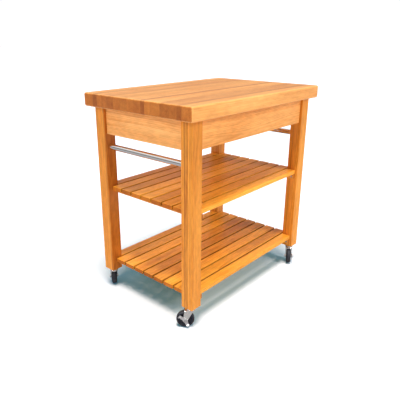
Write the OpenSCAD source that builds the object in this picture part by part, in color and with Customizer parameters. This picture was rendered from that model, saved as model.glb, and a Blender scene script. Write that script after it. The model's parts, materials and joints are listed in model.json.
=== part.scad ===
// Butcher block table: a thick block top on four square legs, with two slatted shelves,
// a towel bar at each end and four swivel casters, two of them with a side brake.
// Millimetres, +Z up. X runs along the length, -Y is the front, and the origin is on the
// floor under the middle of the top.

/* [Top] */
// Length of the top along X
top_l = 914; // [760:1:1220]
// Depth of the top along Y
top_w = 610; // [500:1:760]
// Thickness of the top
top_t = 57; // [38:1:76]
// Height of the working surface above the floor
top_h = 927; // [765:1:1120]
// Radius that eases every edge of the top
top_r = 8; // [3:1:12]

/* [Legs] */
// Side of the square leg
leg_s = 57; // [45:1:70]
// Radius that eases the edges of the legs
leg_r = 3; // [1:0.5:6]
// Top's overhang past the legs at each end
overhang_x = 33; // [10:1:80]
// Top's overhang past the legs at front and rear
overhang_y = 28; // [10:1:60]

/* [Aprons] */
// Height of the aprons
apron_h = 116; // [96:1:150]
// Thickness of the aprons
apron_t = 19; // [15:1:25]
// Setback of the aprons from the outer faces of the legs
setback = 12; // [4:1:20]

/* [Towel bars] */
// Outer diameter of the towel bars
bar_d = 25.4; // [16:0.2:32]
// Wall of the towel bar tube
bar_wall = 1.5; // [1:0.1:3]
// Distance from the lower edge of the aprons down to the axis of a bar
bar_drop = 57; // [30:1:90]
// Distance from the outer face of the legs in to the axis of a bar
bar_inset = 26; // [20:1:30]
// Depth of the socket that holds each end of a bar
bar_socket = 14; // [8:1:25]
// Radial clearance of a bar in its socket
bar_fit = 0.1; // [0.05:0.05:0.3]

/* [Shelves] */
// Height of the upper shelf's surface above the floor
upper_shelf_h = 517; // [420:1:560]
// Height of the lower shelf's surface above the floor
lower_shelf_h = 159; // [150:1:260]
// Thickness of the slats
slat_t = 19; // [14:1:25]
// Gap between slats
slat_gap = 8; // [4:0.5:14]
// Radius that eases the edges of the slats
slat_r = 2; // [1:0.5:4]
// Distance from the outer face of the legs in to the ends of the long slats
slat_inset = 20; // [5:1:40]
// Gap between a short outer slat and a leg
slat_play = 0.5; // [0.5:0.5:3]
// Width of the cleats under the slats
cleat_w = 20; // [18:1:30]
// Height of the cleats under the slats
cleat_h = 22; // [18:1:30]

/* [Casters] */
// Diameter of the wheels
wheel_d = 76; // [60:1:92]
// Width of the tread
tread_w = 22; // [16:1:28]
// Distance the axle trails behind the swivel axis
trail = 24; // [18:1:30]
// Gap between the tread and the crown of the fork
wheel_clear = 3.3; // [2:0.1:8]
// Thickness of the fork's steel
fork_t = 2.6; // [2:0.1:4]
// Diameter of the axle bolt
axle_d = 8; // [6:0.5:10]
// Diameter of the swivel's race
race_d = 38; // [30:1:44]
// Height of the swivel's race
race_t = 8; // [5:1:12]
// Height of the flange between the race and the leg
flange_t = 6; // [3:1:10]
// Diameter of the stem in the leg
stem_d = 10; // [8:0.5:12]
// Length of the stem in the leg
stem_l = 38; // [20:1:60]
// Radial clearance where steel turns on steel
run_fit = 0.05; // [0.02:0.01:0.1]
// Gap between flat faces that turn on each other
face_gap = 0.3; // [0.2:0.1:0.5]
// Direction in which the front left caster trails
turn_front_left = 132; // [0:1:359]
// Direction in which the front right caster trails
turn_front_right = 212; // [0:1:359]
// Direction in which the rear left caster trails
turn_rear_left = 58; // [0:1:359]
// Direction in which the rear right caster trails
turn_rear_right = 145; // [0:1:359]

/* [Brakes] */
// Thickness of the brake lever
lever_t = 2; // [1.5:0.1:3]
// Width of the brake lever's arms
lever_w = 13; // [10:1:16]
// Length of the long arm from the axle
lever_long = 37; // [32:1:42]
// Length of the short arm from the axle
lever_short = 29; // [22:1:31]
// How far the foot tabs stand out from the lever
tab_out = 12; // [8:1:16]

/* [Fastenings] */
// Diameter of the hanger bolts
hanger_d = 8; // [6:1:10]
// Thickness of the corner brackets and of the top clips
bracket_t = 2.5; // [2:0.1:4]
// Height of the corner brackets
bracket_h = 40; // [30:1:60]
// Length of the brackets' flanges along the aprons
bracket_flange = 30; // [24:1:40]
// Gap that the hanger bolts draw closed between bracket and leg
draw_gap = 2; // [1:0.5:4]
// Diameter of the wood screws
screw_d = 4; // [3:0.5:5]
// Depth to which a short wood screw bites
short_bite = 12; // [8:1:14]

/* [Hidden] */
$fn = 48;
EDGE_FN = 24; // facets of the small easing radii in the preview
CUT = 1; // how far a cutting tool runs past a face

CORNERS = [[-1, -1], [1, -1], [-1, 1], [1, 1]];
SLATS = 9;

leg_x = top_l / 2 - overhang_x - leg_s / 2;
leg_y = top_w / 2 - overhang_y - leg_s / 2;
bay_x = leg_x - leg_s / 2; // half the clear width between the legs along X
bay_y = leg_y - leg_s / 2; // half the clear width between the legs along Y
under_top = top_h - top_t;
apron_z = under_top - apron_h;

wheel_r = wheel_d / 2;
hub_w = tread_w + 3;
fork_in = hub_w / 2 + 0.5; // inner face of a fork plate from the middle of the wheel
fork_out = fork_in + fork_t;
crown_z = wheel_d + wheel_clear;
race_z = crown_z + fork_t + face_gap;
flange_z = race_z + race_t;
leg_z = flange_z + flange_t; // underside of the legs
leg_l = under_top - leg_z;
pin_d = 9; // kingpin that the fork swivels on
pin_head_d = 15;
pin_head_t = 2;
head_af = 13; // across the flats of the axle's head and nut
head_t = 5;
fork_front = -0.22 * race_d; // the fork plates' upper edge runs from here
fork_back = trail + 3; // to here, past the swivel axis

bar_x = leg_x + leg_s / 2 - bar_inset;
bar_z = apron_z - bar_drop;

long_slat_l = 2 * (leg_x + leg_s / 2 - slat_inset);
short_slat_l = 2 * (bay_x - slat_play);
outer_slat_w = leg_s - setback;
inner_slat_w = (2 * (bay_y - slat_gap) - (SLATS - 3) * slat_gap) / (SLATS - 2);
cleat_l = 2 * (bay_y + outer_slat_w);
cleat_x = bay_x - cleat_w / 2;

inner_face = setback + apron_t; // aprons' inner faces, in from the outer faces of the legs
bend = 2 * leg_s + draw_gap * sqrt(2) - inner_face; // where a bracket turns off the apron
screw_head_d = 2 * screw_d;
screw_head_t = 0.6 * screw_d;
slat_bite = slat_t * 0.6;
cleat_bite = leg_s * 0.3;
hanger_bite = 0.62 * leg_s;
hanger_out = draw_gap + bracket_t + 16;
nut_t = 0.8 * hanger_d;
clip_w = 22;
clip_slot_drop = 12; // from the underside of the top to the clip's slot
clip_reach = 26;
clip_tongue = apron_t * 0.45;

// ---- shared shapes ----

module rounded_rect(w, d, r) {
  square([w - 2 * r, d], center = true);
  square([w, d - 2 * r], center = true);
  for (x = [-1, 1], y = [-1, 1])
    translate([x * (w / 2 - r), y * (d / 2 - r)]) circle(r = r, $fn = EDGE_FN);
}

// A block with every edge eased, centred in X and Y and standing on z = 0.
module eased_block(size, r) {
  translate([0, 0, size.z / 2])
    intersection() {
      linear_extrude(size.z + CUT, center = true) rounded_rect(size.x, size.y, r);
      rotate([90, 0, 0]) linear_extrude(size.y + CUT, center = true) rounded_rect(size.x, size.z, r);
      rotate([90, 0, 90]) linear_extrude(size.x + CUT, center = true) rounded_rect(size.y, size.z, r);
    }
}

// A pan head screw along +Z: the shank starts at z = 0, under the head, and ends in a point.
module wood_screw(l) {
  translate([0, 0, -screw_head_t]) cylinder(d = screw_head_d, h = screw_head_t);
  cylinder(d = screw_d, h = l - screw_d);
  translate([0, 0, l - screw_d]) cylinder(d1 = screw_d, d2 = screw_d / 4, h = screw_d);
}

module screw_hole(l) {
  cylinder(d = screw_d, h = l + screw_d / 2);
}

// Puts its children at a corner, in a frame whose +X and +Y point in from the outer
// faces of that corner's leg.
module at_corner(c) {
  translate([c.x * (leg_x + leg_s / 2), c.y * (leg_y + leg_s / 2), 0])
    mirror([c.x > 0 ? 1 : 0, 0, 0])
      mirror([0, c.y > 0 ? 1 : 0, 0])
        children();
}

// ---- top ----

// Places children under the top where the clips hold it: two on each long side, one at each end.
module at_clips() {
  for (y = [-1, 1], x = [-1, 1])
    translate([x * bay_x / 2, y * (leg_y + leg_s / 2 - inner_face), under_top])
      rotate([0, 0, y < 0 ? 0 : 180]) children();
  for (x = [-1, 1])
    translate([x * (leg_x + leg_s / 2 - inner_face), 0, under_top])
      rotate([0, 0, x < 0 ? -90 : 90]) children();
}

module clip_screw_place() {
  translate([0, clip_reach * 0.6, -bracket_t]) children();
}

module butcher_block_top() {
  color("burlywood")
    difference() {
      translate([0, 0, under_top]) eased_block([top_l, top_w, top_t], top_r);
      at_clips() clip_screw_place() screw_hole(short_bite + bracket_t);
    }
}

// Z-shaped clip: its tongue sits in the apron's slot and its foot is screwed to the top.
module top_clip() {
  rotate([90, 0, 90])
    linear_extrude(clip_w, center = true)
      polygon([
        [-clip_tongue, -clip_slot_drop], [bracket_t, -clip_slot_drop], [bracket_t, -bracket_t],
        [clip_reach, -bracket_t], [clip_reach, 0], [0, 0],
        [0, bracket_t - clip_slot_drop], [-clip_tongue, bracket_t - clip_slot_drop],
      ]);
}

module top_clips() {
  color("silver")
    at_clips() difference() {
      top_clip();
      clip_screw_place() translate([0, 0, -CUT]) cylinder(d = screw_d, h = bracket_t + 2 * CUT);
    }
}

module top_clip_screws() {
  color("gray") at_clips() clip_screw_place() wood_screw(short_bite + bracket_t);
}

// ---- legs and aprons ----

// Places children on the diagonal of a corner, with +Z pointing inward from the leg's edge.
module on_diagonal() {
  translate([leg_s, leg_s, apron_z + apron_h / 2])
    rotate([0, 0, 45]) rotate([0, 90, 0]) children();
}

// Places children where a cleat is screwed to the leg, with +Z pointing into the leg.
module at_leg_cleats() {
  for (h = [upper_shelf_h, lower_shelf_h])
    translate([leg_s + cleat_w, setback + 2 * screw_d, h - slat_t - cleat_h / 2])
      rotate([0, -90, 0]) children();
}

module leg(c) {
  color("peru")
    at_corner(c) difference() {
      translate([leg_s / 2, leg_s / 2, leg_z]) eased_block([leg_s, leg_s, leg_l], leg_r);
      translate([bar_inset, leg_s - bar_socket, bar_z])
        rotate([-90, 0, 0]) cylinder(r = bar_d / 2 + bar_fit, h = bar_socket + CUT);
      translate([leg_s / 2, leg_s / 2, leg_z - CUT]) cylinder(d = stem_d, h = stem_l + CUT);
      on_diagonal() translate([0, 0, -hanger_bite]) cylinder(d = hanger_d, h = hanger_bite + leg_r);
      at_leg_cleats() screw_hole(cleat_w + cleat_bite);
    }
}

// Places children on the inner face of the apron that runs along a corner's +X, with +Z
// pointing out of the table, at the screws of the bracket.
module at_flange_screws() {
  for (z = [-1, 1])
    translate([
      bend + bracket_flange * 0.6,
      inner_face + bracket_t,
      apron_z + apron_h / 2 + z * bracket_h * 0.3,
    ])
      rotate([90, 0, 0]) children();
}

// Swaps a corner frame's X and Y, to reach the apron that runs along its +Y.
module swap_xy() {
  mirror([1, -1, 0]) children();
}

module clip_slots() {
  at_clips()
    translate([0, (CUT - clip_tongue) / 2, bracket_t / 2 - clip_slot_drop])
      cube([clip_w, clip_tongue + CUT, bracket_t], center = true);
}

module long_apron(side) {
  color("peru")
    difference() {
      translate([0, side * (leg_y + leg_s / 2 - setback - apron_t / 2), apron_z])
        eased_block([2 * bay_x, apron_t, apron_h], slat_r);
      for (c = CORNERS) at_corner(c) at_flange_screws() screw_hole(short_bite + bracket_t);
      clip_slots();
    }
}

module end_apron(side) {
  color("peru")
    difference() {
      translate([side * (leg_x + leg_s / 2 - setback - apron_t / 2), 0, apron_z])
        eased_block([apron_t, 2 * bay_y, apron_h], slat_r);
      for (c = CORNERS) at_corner(c) swap_xy() at_flange_screws() screw_hole(short_bite + bracket_t);
      clip_slots();
    }
}

// ---- corner brackets ----

module corner_bracket(c) {
  turn = bracket_t * (sqrt(2) - 1); // how far the inner bend moves along the flange
  far = bend + bracket_flange;
  face = inner_face + bracket_t;
  color("silver")
    at_corner(c) difference() {
      translate([0, 0, apron_z + (apron_h - bracket_h) / 2])
        linear_extrude(bracket_h)
          polygon([
            [far, inner_face], [bend, inner_face], [inner_face, bend], [inner_face, far],
            [face, far], [face, bend + turn], [bend + turn, face], [far, face],
          ]);
      on_diagonal() cylinder(d = hanger_d + 1, h = hanger_out);
      at_flange_screws() translate([0, 0, -CUT]) cylinder(d = screw_d, h = bracket_t + 2 * CUT);
      swap_xy() at_flange_screws()
        translate([0, 0, -CUT]) cylinder(d = screw_d, h = bracket_t + 2 * CUT);
    }
}

module hanger_bolts() {
  color("gainsboro")
    for (c = CORNERS) at_corner(c) on_diagonal()
      translate([0, 0, -hanger_bite]) cylinder(d = hanger_d, h = hanger_bite + hanger_out);
}

module hanger_nuts() {
  color("gainsboro")
    for (c = CORNERS) at_corner(c) on_diagonal()
      translate([0, 0, draw_gap + bracket_t]) difference() {
        union() {
          cylinder(d = 2.2 * hanger_d, h = 1.5);
          cylinder(d = 1.8 * hanger_d, h = 1.5 + nut_t, $fn = 6);
        }
        translate([0, 0, -CUT]) cylinder(d = hanger_d, h = nut_t + 1.5 + 2 * CUT);
      }
}

module bracket_screws() {
  color("gray")
    for (c = CORNERS) at_corner(c) {
      at_flange_screws() wood_screw(short_bite + bracket_t);
      swap_xy() at_flange_screws() wood_screw(short_bite + bracket_t);
    }
}

// ---- towel bars ----

module towel_bar(side) {
  reach = 2 * (bay_y + bar_socket);
  color("silver")
    translate([side * bar_x, 0, bar_z]) rotate([90, 0, 0]) difference() {
      cylinder(d = bar_d, h = reach, center = true);
      cylinder(d = bar_d - 2 * bar_wall, h = reach + 2 * CUT, center = true);
    }
}

// ---- shelves ----

function slat_w(i) = i == 1 || i == SLATS ? outer_slat_w : inner_slat_w;
function slat_l(i) = i == 1 || i == SLATS ? short_slat_l : long_slat_l;
function slat_y(i) =
  i == 1 ? -(bay_y + outer_slat_w / 2)
  : i == SLATS ? bay_y + outer_slat_w / 2
  : (i - (SLATS + 1) / 2) * (inner_slat_w + slat_gap);

// Places children at the foot of the screw that rises through a cleat into a slat.
module at_slat_screws(i, shelf_h) {
  for (x = [-1, 1])
    translate([x * cleat_x, slat_y(i), shelf_h - slat_t - cleat_h]) children();
}

module slat(i, shelf_h) {
  color(i % 3 == 0 ? "peru" : i % 3 == 1 ? "sandybrown" : "burlywood")
    difference() {
      translate([0, slat_y(i), shelf_h - slat_t]) eased_block([slat_l(i), slat_w(i), slat_t], slat_r);
      at_slat_screws(i, shelf_h) screw_hole(cleat_h + slat_bite);
    }
}

module cleat(side, shelf_h) {
  color("tan")
    difference() {
      translate([side * cleat_x, 0, shelf_h - slat_t - cleat_h])
        eased_block([cleat_w, cleat_l, cleat_h], slat_r / 2);
      for (i = [1 : SLATS])
        at_slat_screws(i, shelf_h) translate([0, 0, -CUT]) screw_hole(cleat_h + 2 * CUT);
      for (c = CORNERS) at_corner(c) at_leg_cleats() translate([0, 0, -CUT]) screw_hole(cleat_w + 2 * CUT);
    }
}

module slat_screws() {
  color("gray")
    for (h = [upper_shelf_h, lower_shelf_h], i = [1 : SLATS])
      at_slat_screws(i, h) wood_screw(cleat_h + slat_bite);
}

module cleat_screws() {
  color("gray") for (c = CORNERS) at_corner(c) at_leg_cleats() wood_screw(cleat_w + cleat_bite);
}

// ---- casters: each is drawn trailing along +X, with its brake side at +Y ----

function turn_of(c) =
  c.x < 0 ? (c.y < 0 ? turn_front_left : turn_rear_left) : (c.y < 0 ? turn_front_right : turn_rear_right);

module at_caster(c) {
  translate([c.x * leg_x, c.y * leg_y, 0]) rotate([0, 0, turn_of(c)]) children();
}

module at_axle() {
  translate([trail, 0, wheel_r]) rotate([-90, 0, 0]) children();
}

// Pressed race cup, dished at its rim.
module race() {
  rotate_extrude()
    polygon([
      [0, 0], [race_d / 2 - 3, 0], [race_d / 2, 1.5], [race_d / 2, race_t * 0.5],
      [race_d / 2 - 2, race_t * 0.8], [race_d / 2 - 5, race_t], [0, race_t],
    ]);
}

// Stem, flange, race and kingpin, riveted together and screwed up into the leg.
module caster_stems() {
  color("silver")
    for (c = CORNERS) at_caster(c) {
      translate([0, 0, leg_z]) cylinder(d = stem_d, h = stem_l - 1);
      translate([0, 0, flange_z]) cylinder(d = race_d * 0.8, h = flange_t);
      translate([0, 0, race_z]) race();
      translate([0, 0, crown_z - face_gap - pin_head_t]) {
        cylinder(d = pin_head_d, h = pin_head_t);
        cylinder(d = pin_d, h = pin_head_t + fork_t + 2 * face_gap + CUT);
      }
    }
}

// Side outline of a fork plate: wide under the crown and swept back to the axle.
module fork_plate() {
  eye_r = axle_d / 2 + 4.5;
  difference() {
    union() {
      polygon([
        [fork_front, crown_z + fork_t], [fork_back, crown_z + fork_t], [fork_back + 4, 1.55 * wheel_r],
        [trail + eye_r, wheel_r], [trail, wheel_r - eye_r * 0.9], [trail - eye_r, wheel_r],
      ]);
      translate([trail, wheel_r]) circle(r = eye_r);
    }
    translate([trail, wheel_r]) circle(d = axle_d);
  }
}

module fork(c) {
  color("lightgray")
    at_caster(c) {
      for (y = [-fork_out, fork_in])
        translate([0, y + fork_t, 0]) rotate([90, 0, 0]) linear_extrude(fork_t) fork_plate();
      translate([0, 0, crown_z]) linear_extrude(fork_t) difference() {
        union() {
          circle(d = race_d - 4);
          translate([fork_front, -fork_out]) square([fork_back - fork_front, 2 * fork_out]);
        }
        circle(r = pin_d / 2 + run_fit);
      }
    }
}

module wheel(c) {
  web = tread_w / 2 - 4;
  rim_r = 0.76 * wheel_r;
  boss_r = axle_d / 2 + 5;
  shoulder = 0.25 * tread_w;
  half = tread_w / 2;
  bore_r = axle_d / 2 + run_fit;
  color([0.12, 0.13, 0.17])
    at_caster(c) at_axle() rotate_extrude($fn = 96)
      polygon([
        [bore_r, -hub_w / 2], [boss_r, -hub_w / 2], [boss_r + 2, -web], [rim_r - 2, -web],
        [rim_r, -half], [wheel_r - shoulder, -half], [wheel_r - 1, shoulder - half], [wheel_r, 0],
        [wheel_r - 1, half - shoulder], [wheel_r - shoulder, half], [rim_r, half],
        [rim_r - 2, web], [boss_r + 2, web], [boss_r, hub_w / 2], [bore_r, hub_w / 2],
      ]);
}

// Whether a corner's caster has a brake: the front two do.
function braked(c) = c.y < 0;

module axle(c) {
  nut_y = fork_out + (braked(c) ? lever_t + 2 * face_gap : 0);
  color("silver")
    at_caster(c) at_axle() {
      translate([0, 0, -fork_out - head_t]) cylinder(d = head_af / cos(30), h = head_t, $fn = 6);
      translate([0, 0, -fork_out - CUT]) cylinder(d = axle_d, h = fork_out + nut_y + 2 * CUT);
      translate([0, 0, nut_y]) cylinder(d = head_af / cos(30), h = head_t, $fn = 6);
    }
}

// Rocker with an eye on the axle, a long arm up and back, a short arm down and forward,
// and a foot tab bent out at the end of each.
module brake(c) {
  long_turn = 38;
  short_turn = 246;
  color("darkgray")
    at_caster(c) translate([trail, fork_out + face_gap + lever_t, wheel_r]) rotate([90, 0, 0]) {
      linear_extrude(lever_t) difference() {
        union() {
          circle(d = 1.6 * lever_w);
          for (a = [[long_turn, lever_long], [short_turn, lever_short]])
            rotate(a[0]) translate([0, -lever_w / 2]) square([a[1], lever_w]);
        }
        circle(r = axle_d / 2 + run_fit);
      }
      for (a = [[long_turn, lever_long, tab_out], [short_turn, lever_short, 0.6 * tab_out]])
        rotate(a[0])
          translate([a[1] - lever_t, -lever_w / 2, -a[2]]) cube([lever_t, lever_w, a[2] + lever_t / 2]);
    }
}

// ---- drawing ----

butcher_block_top();
leg(CORNERS[0]);  // front_left_leg
leg(CORNERS[1]);  // front_right_leg
leg(CORNERS[2]);  // rear_left_leg
leg(CORNERS[3]);  // rear_right_leg
long_apron(-1);  // front_apron
long_apron(1);  // rear_apron
end_apron(-1);  // left_apron
end_apron(1);  // right_apron
towel_bar(-1);  // left_towel_bar
towel_bar(1);  // right_towel_bar
slat(1, upper_shelf_h);  // upper_slat_1
slat(2, upper_shelf_h);  // upper_slat_2
slat(3, upper_shelf_h);  // upper_slat_3
slat(4, upper_shelf_h);  // upper_slat_4
slat(5, upper_shelf_h);  // upper_slat_5
slat(6, upper_shelf_h);  // upper_slat_6
slat(7, upper_shelf_h);  // upper_slat_7
slat(8, upper_shelf_h);  // upper_slat_8
slat(9, upper_shelf_h);  // upper_slat_9
slat(1, lower_shelf_h);  // lower_slat_1
slat(2, lower_shelf_h);  // lower_slat_2
slat(3, lower_shelf_h);  // lower_slat_3
slat(4, lower_shelf_h);  // lower_slat_4
slat(5, lower_shelf_h);  // lower_slat_5
slat(6, lower_shelf_h);  // lower_slat_6
slat(7, lower_shelf_h);  // lower_slat_7
slat(8, lower_shelf_h);  // lower_slat_8
slat(9, lower_shelf_h);  // lower_slat_9
cleat(-1, upper_shelf_h);  // upper_left_cleat
cleat(1, upper_shelf_h);  // upper_right_cleat
cleat(-1, lower_shelf_h);  // lower_left_cleat
cleat(1, lower_shelf_h);  // lower_right_cleat
corner_bracket(CORNERS[0]);  // front_left_bracket
corner_bracket(CORNERS[1]);  // front_right_bracket
corner_bracket(CORNERS[2]);  // rear_left_bracket
corner_bracket(CORNERS[3]);  // rear_right_bracket
hanger_bolts();
hanger_nuts();
bracket_screws();
top_clips();
top_clip_screws();
slat_screws();
cleat_screws();
caster_stems();
fork(CORNERS[0]);  // front_left_fork
fork(CORNERS[1]);  // front_right_fork
fork(CORNERS[2]);  // rear_left_fork
fork(CORNERS[3]);  // rear_right_fork
wheel(CORNERS[0]);  // front_left_wheel
wheel(CORNERS[1]);  // front_right_wheel
wheel(CORNERS[2]);  // rear_left_wheel
wheel(CORNERS[3]);  // rear_right_wheel
axle(CORNERS[0]);  // front_left_axle
axle(CORNERS[1]);  // front_right_axle
axle(CORNERS[2]);  // rear_left_axle
axle(CORNERS[3]);  // rear_right_axle
brake(CORNERS[0]);  // front_left_brake
brake(CORNERS[1]);  // front_right_brake
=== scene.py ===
import json
import math

import bpy
import numpy as np
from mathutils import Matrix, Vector


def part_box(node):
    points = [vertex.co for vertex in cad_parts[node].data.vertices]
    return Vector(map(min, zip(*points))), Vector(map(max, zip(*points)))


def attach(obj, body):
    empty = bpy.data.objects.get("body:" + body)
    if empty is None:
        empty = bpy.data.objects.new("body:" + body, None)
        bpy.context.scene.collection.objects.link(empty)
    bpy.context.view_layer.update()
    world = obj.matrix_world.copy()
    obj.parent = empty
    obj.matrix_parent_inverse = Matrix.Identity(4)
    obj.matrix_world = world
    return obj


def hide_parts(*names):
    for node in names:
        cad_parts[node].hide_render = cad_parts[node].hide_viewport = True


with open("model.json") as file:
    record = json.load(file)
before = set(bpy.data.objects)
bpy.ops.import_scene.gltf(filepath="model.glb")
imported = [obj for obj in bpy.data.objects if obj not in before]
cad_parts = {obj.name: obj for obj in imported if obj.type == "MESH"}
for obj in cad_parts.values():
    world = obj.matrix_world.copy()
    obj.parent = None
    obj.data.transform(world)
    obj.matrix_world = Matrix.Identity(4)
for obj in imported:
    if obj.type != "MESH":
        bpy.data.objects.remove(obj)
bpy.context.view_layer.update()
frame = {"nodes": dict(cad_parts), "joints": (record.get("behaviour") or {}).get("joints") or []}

scene = bpy.context.scene

# ---------------------------------------------------------------- the studio
# A seamless floor under a white sky, as for a furniture catalogue. One broad lamp hangs overhead, one stands
# at the front, one at the left and a weak one behind. Two more light only the floor.


def feed(tree, node, inputs):
    """Fills a node's sockets. inputs is a list, or a table by name or number: another node's output is
    linked, and a number or colour is set."""
    pairs = inputs.items() if isinstance(inputs, dict) else enumerate(inputs)
    for key, value in pairs:
        if isinstance(value, bpy.types.NodeSocket):
            tree.links.new(value, node.inputs[key])
        else:
            node.inputs[key].default_value = value


def put(tree, kind, inputs=(), **settings):
    """One new node, with its sockets filled."""
    node = tree.nodes.new("ShaderNode" + kind)
    for key, value in settings.items():
        setattr(node, key, value)
    feed(tree, node, inputs)
    return node


def sums(tree, operation, *values, clamp=False):
    """The output of one step of arithmetic."""
    return put(tree, "Math", values, operation=operation, use_clamp=clamp).outputs[0]


def vector_sums(tree, operation, *values):
    """The output of one step of arithmetic on vectors, which is a number when it asks for a length."""
    outputs = put(tree, "VectorMath", values, operation=operation).outputs
    return outputs["Value" if operation == "LENGTH" else "Vector"]


def blended(tree, amount, first, second, how="MIX"):
    """Two colours mixed by an amount."""
    node = put(tree, "Mix", {0: amount, 6: first, 7: second}, data_type="RGBA", blend_type=how)
    return node.outputs[2]


def ramp(tree, value, low, high, to_low=0.0, to_high=1.0, soft=True):
    """value carried from low..high to to_low..to_high, held at the ends."""
    kind = "SMOOTHSTEP" if soft else "LINEAR"
    return put(tree, "MapRange", [value, low, high, to_low, to_high], interpolation_type=kind).outputs[0]


def new_material(name):
    """A new material, its node tree and its shader."""
    material = bpy.data.materials.new(name)
    material.use_nodes = True
    return material, material.node_tree, material.node_tree.nodes["Principled BSDF"]


def far_lamp(name, heading, height, spread, strength, colour):
    """A lamp so far off that its light is even, wherever its stand is drawn. heading is where it stands, from
    +X, height is how high over the floor it stands and spread is how wide it looks, all in degrees."""
    lamp = bpy.data.lights.new(name, "SUN")
    lamp.energy, lamp.angle, lamp.color = strength, math.radians(spread), colour
    stand = bpy.data.objects.new(name, lamp)
    turn, lift = math.radians(heading), math.radians(height)
    towards = Vector((math.cos(turn) * math.cos(lift), math.sin(turn) * math.cos(lift), math.sin(lift)))
    stand.rotation_euler = towards.to_track_quat("Z", "Y").to_euler()
    stand.location = towards * stand_distance
    scene.collection.objects.link(stand)
    return stand


floor_size, stand_distance = 80.0, 4.0
floor_mesh = bpy.data.meshes.new("studio_floor")
floor_corners = np.array([[-1, -1], [1, -1], [1, 1], [-1, 1]]) * floor_size / 2
floor_mesh.from_pydata([(x, y, 0) for x, y in floor_corners], [], [(0, 1, 2, 3)])
studio_floor = bpy.data.objects.new("studio_floor", floor_mesh)
scene.collection.objects.link(studio_floor)
# Warm lamps make this cool paint white, and where they don't reach, the shadow stays cool. Bright metal
# mirrors a darker floor than the camera sees, and the floor is clear from below, to show the underside.
floor_colour, mirrored_colour, floor_glow = (0.36, 0.75, 0.98, 1), (0.13, 0.24, 0.30, 1), (0.2, 0.72, 1.0, 1)
floor_paint, tree, shader = new_material("floor_paint")
in_mirror = put(tree, "LightPath").outputs["Is Glossy Ray"]
from_below = put(tree, "NewGeometry").outputs["Backfacing"]
feed(tree, shader, {
    "Base Color": blended(tree, in_mirror, floor_colour, mirrored_colour), "Roughness": 0.9,
    "Specular IOR Level": 0.0, "Emission Color": floor_glow, "Emission Strength": 0.06,
    "Alpha": sums(tree, "SUBTRACT", 1.0, from_below)})
floor_mesh.materials.append(floor_paint)

# The camera sees a white sky and matt surfaces get a third of it. Metal and lacquer mirror a sky that is dim
# near the horizon and bright higher up, as a softbox is.
sky = bpy.data.worlds.new("white_sky")
sky.use_nodes = True
tree = sky.node_tree
ray = put(tree, "LightPath").outputs
rise = put(tree, "SeparateXYZ", [put(tree, "TexCoord").outputs["Generated"]]).outputs["Z"]
seen_sky, matt_sky, mirrored_low, mirrored_high = 1.02, 0.32, 0.14, 0.95
softbox = ramp(tree, rise, 0.10, 0.55, mirrored_low, mirrored_high)
fill = ramp(tree, ray["Is Glossy Ray"], 0.0, 1.0, matt_sky, softbox, soft=False)
glow = ramp(tree, ray["Is Camera Ray"], 0.0, 1.0, fill, seen_sky, soft=False)
feed(tree, tree.nodes["Background"], {"Color": (1, 1, 1, 1), "Strength": glow})
scene.world = sky
scene.view_settings.view_transform = "Standard"

overhead_lamp = far_lamp("overhead_lamp", -135, 78, 12, 2.3, (1.0, 0.99, 0.97))
front_lamp = far_lamp("front_lamp", -78, 33, 18, 1.65, (1.0, 0.98, 0.95))
left_lamp = far_lamp("left_lamp", 178, 33, 18, 1.25, (1.0, 0.98, 0.95))
rear_lamp = far_lamp("rear_lamp", 60, 16, 24, 0.8, (1.0, 0.94, 0.86))
floor_wash = far_lamp("floor_wash", -134, 76, 20, 9.3, (1.0, 0.425, 0.31))
floor_fill = far_lamp("floor_fill", -82, 40, 12, 2.4, (1.0, 0.46, 0.36))
# The rear lamp stands nearly opposite the camera, where it would leave a glare on the top.
rear_lamp.visible_glossy = False
# The floor has lamps of its own, so that the table's shadow stays soft and close under it.
floor_only = bpy.data.collections.new("floor_only")
all_but_floor = bpy.data.collections.new("all_but_floor")
table_lamps, floor_lamps = (overhead_lamp, front_lamp, left_lamp, rear_lamp), (floor_wash, floor_fill)
for lit, lamps in ((floor_only, floor_lamps), (all_but_floor, table_lamps)):
    lit.objects.link(studio_floor)
    for lamp in lamps:
        lamp.light_linking.receiver_collection = lit
all_but_floor.collection_objects[0].light_linking.link_state = "EXCLUDE"

camera_lens = bpy.data.cameras.new("camera")
camera_lens.lens = 40.58
camera_lens.shift_x, camera_lens.shift_y = 0.031, -0.0205
camera = bpy.data.objects.new("camera", camera_lens)
camera.location = (-1.598, -1.309, 1.1565)
looked_at = Vector((-0.122, 0.017, 0.4634))
camera.rotation_euler = (looked_at - camera.location).to_track_quat("-Z", "Y").to_euler()
scene.collection.objects.link(camera)
scene.camera = camera

# ---------------------------------------------------------------- the top
# Butcher block: hardwood staves of many tones run the length of the table and
# are glued edge to edge, planed flat, rounded over all round and lacquered.
# The ends show the staves' end grain, which drinks the lacquer and goes darker.
glue_line = 0.0005
# A face looks along an axis when its normal leans that way by more than straight_on. It is part of a rounded
# edge when it leans no way by more than nearly_flat.
straight_on, nearly_flat = 0.75, 0.97
# A stave grew at least nearest_heart from the tree's heart, and its figure starts anywhere along a very long
# trunk, up to trunk_half either way.
nearest_heart, trunk_half = 0.03, 40


def eased_outline(width, height, radius, reach):
    """Points round a rectangle whose corners are quarter circles. Each corner's circle keeps its centre,
    radius in from both sides, and is drawn at reach times its radius."""
    steps = 5
    turn = np.repeat(np.arange(4) * math.pi / 2, steps) + np.tile(np.linspace(0, math.pi / 2, steps), 4)
    sides = np.repeat([[1, 1], [-1, 1], [-1, -1], [1, -1]], steps, axis=0)
    centre = sides * (np.array([width, height]) / 2 - radius)
    return centre + np.stack([np.cos(turn), np.sin(turn)], 1) * radius * reach


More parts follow.
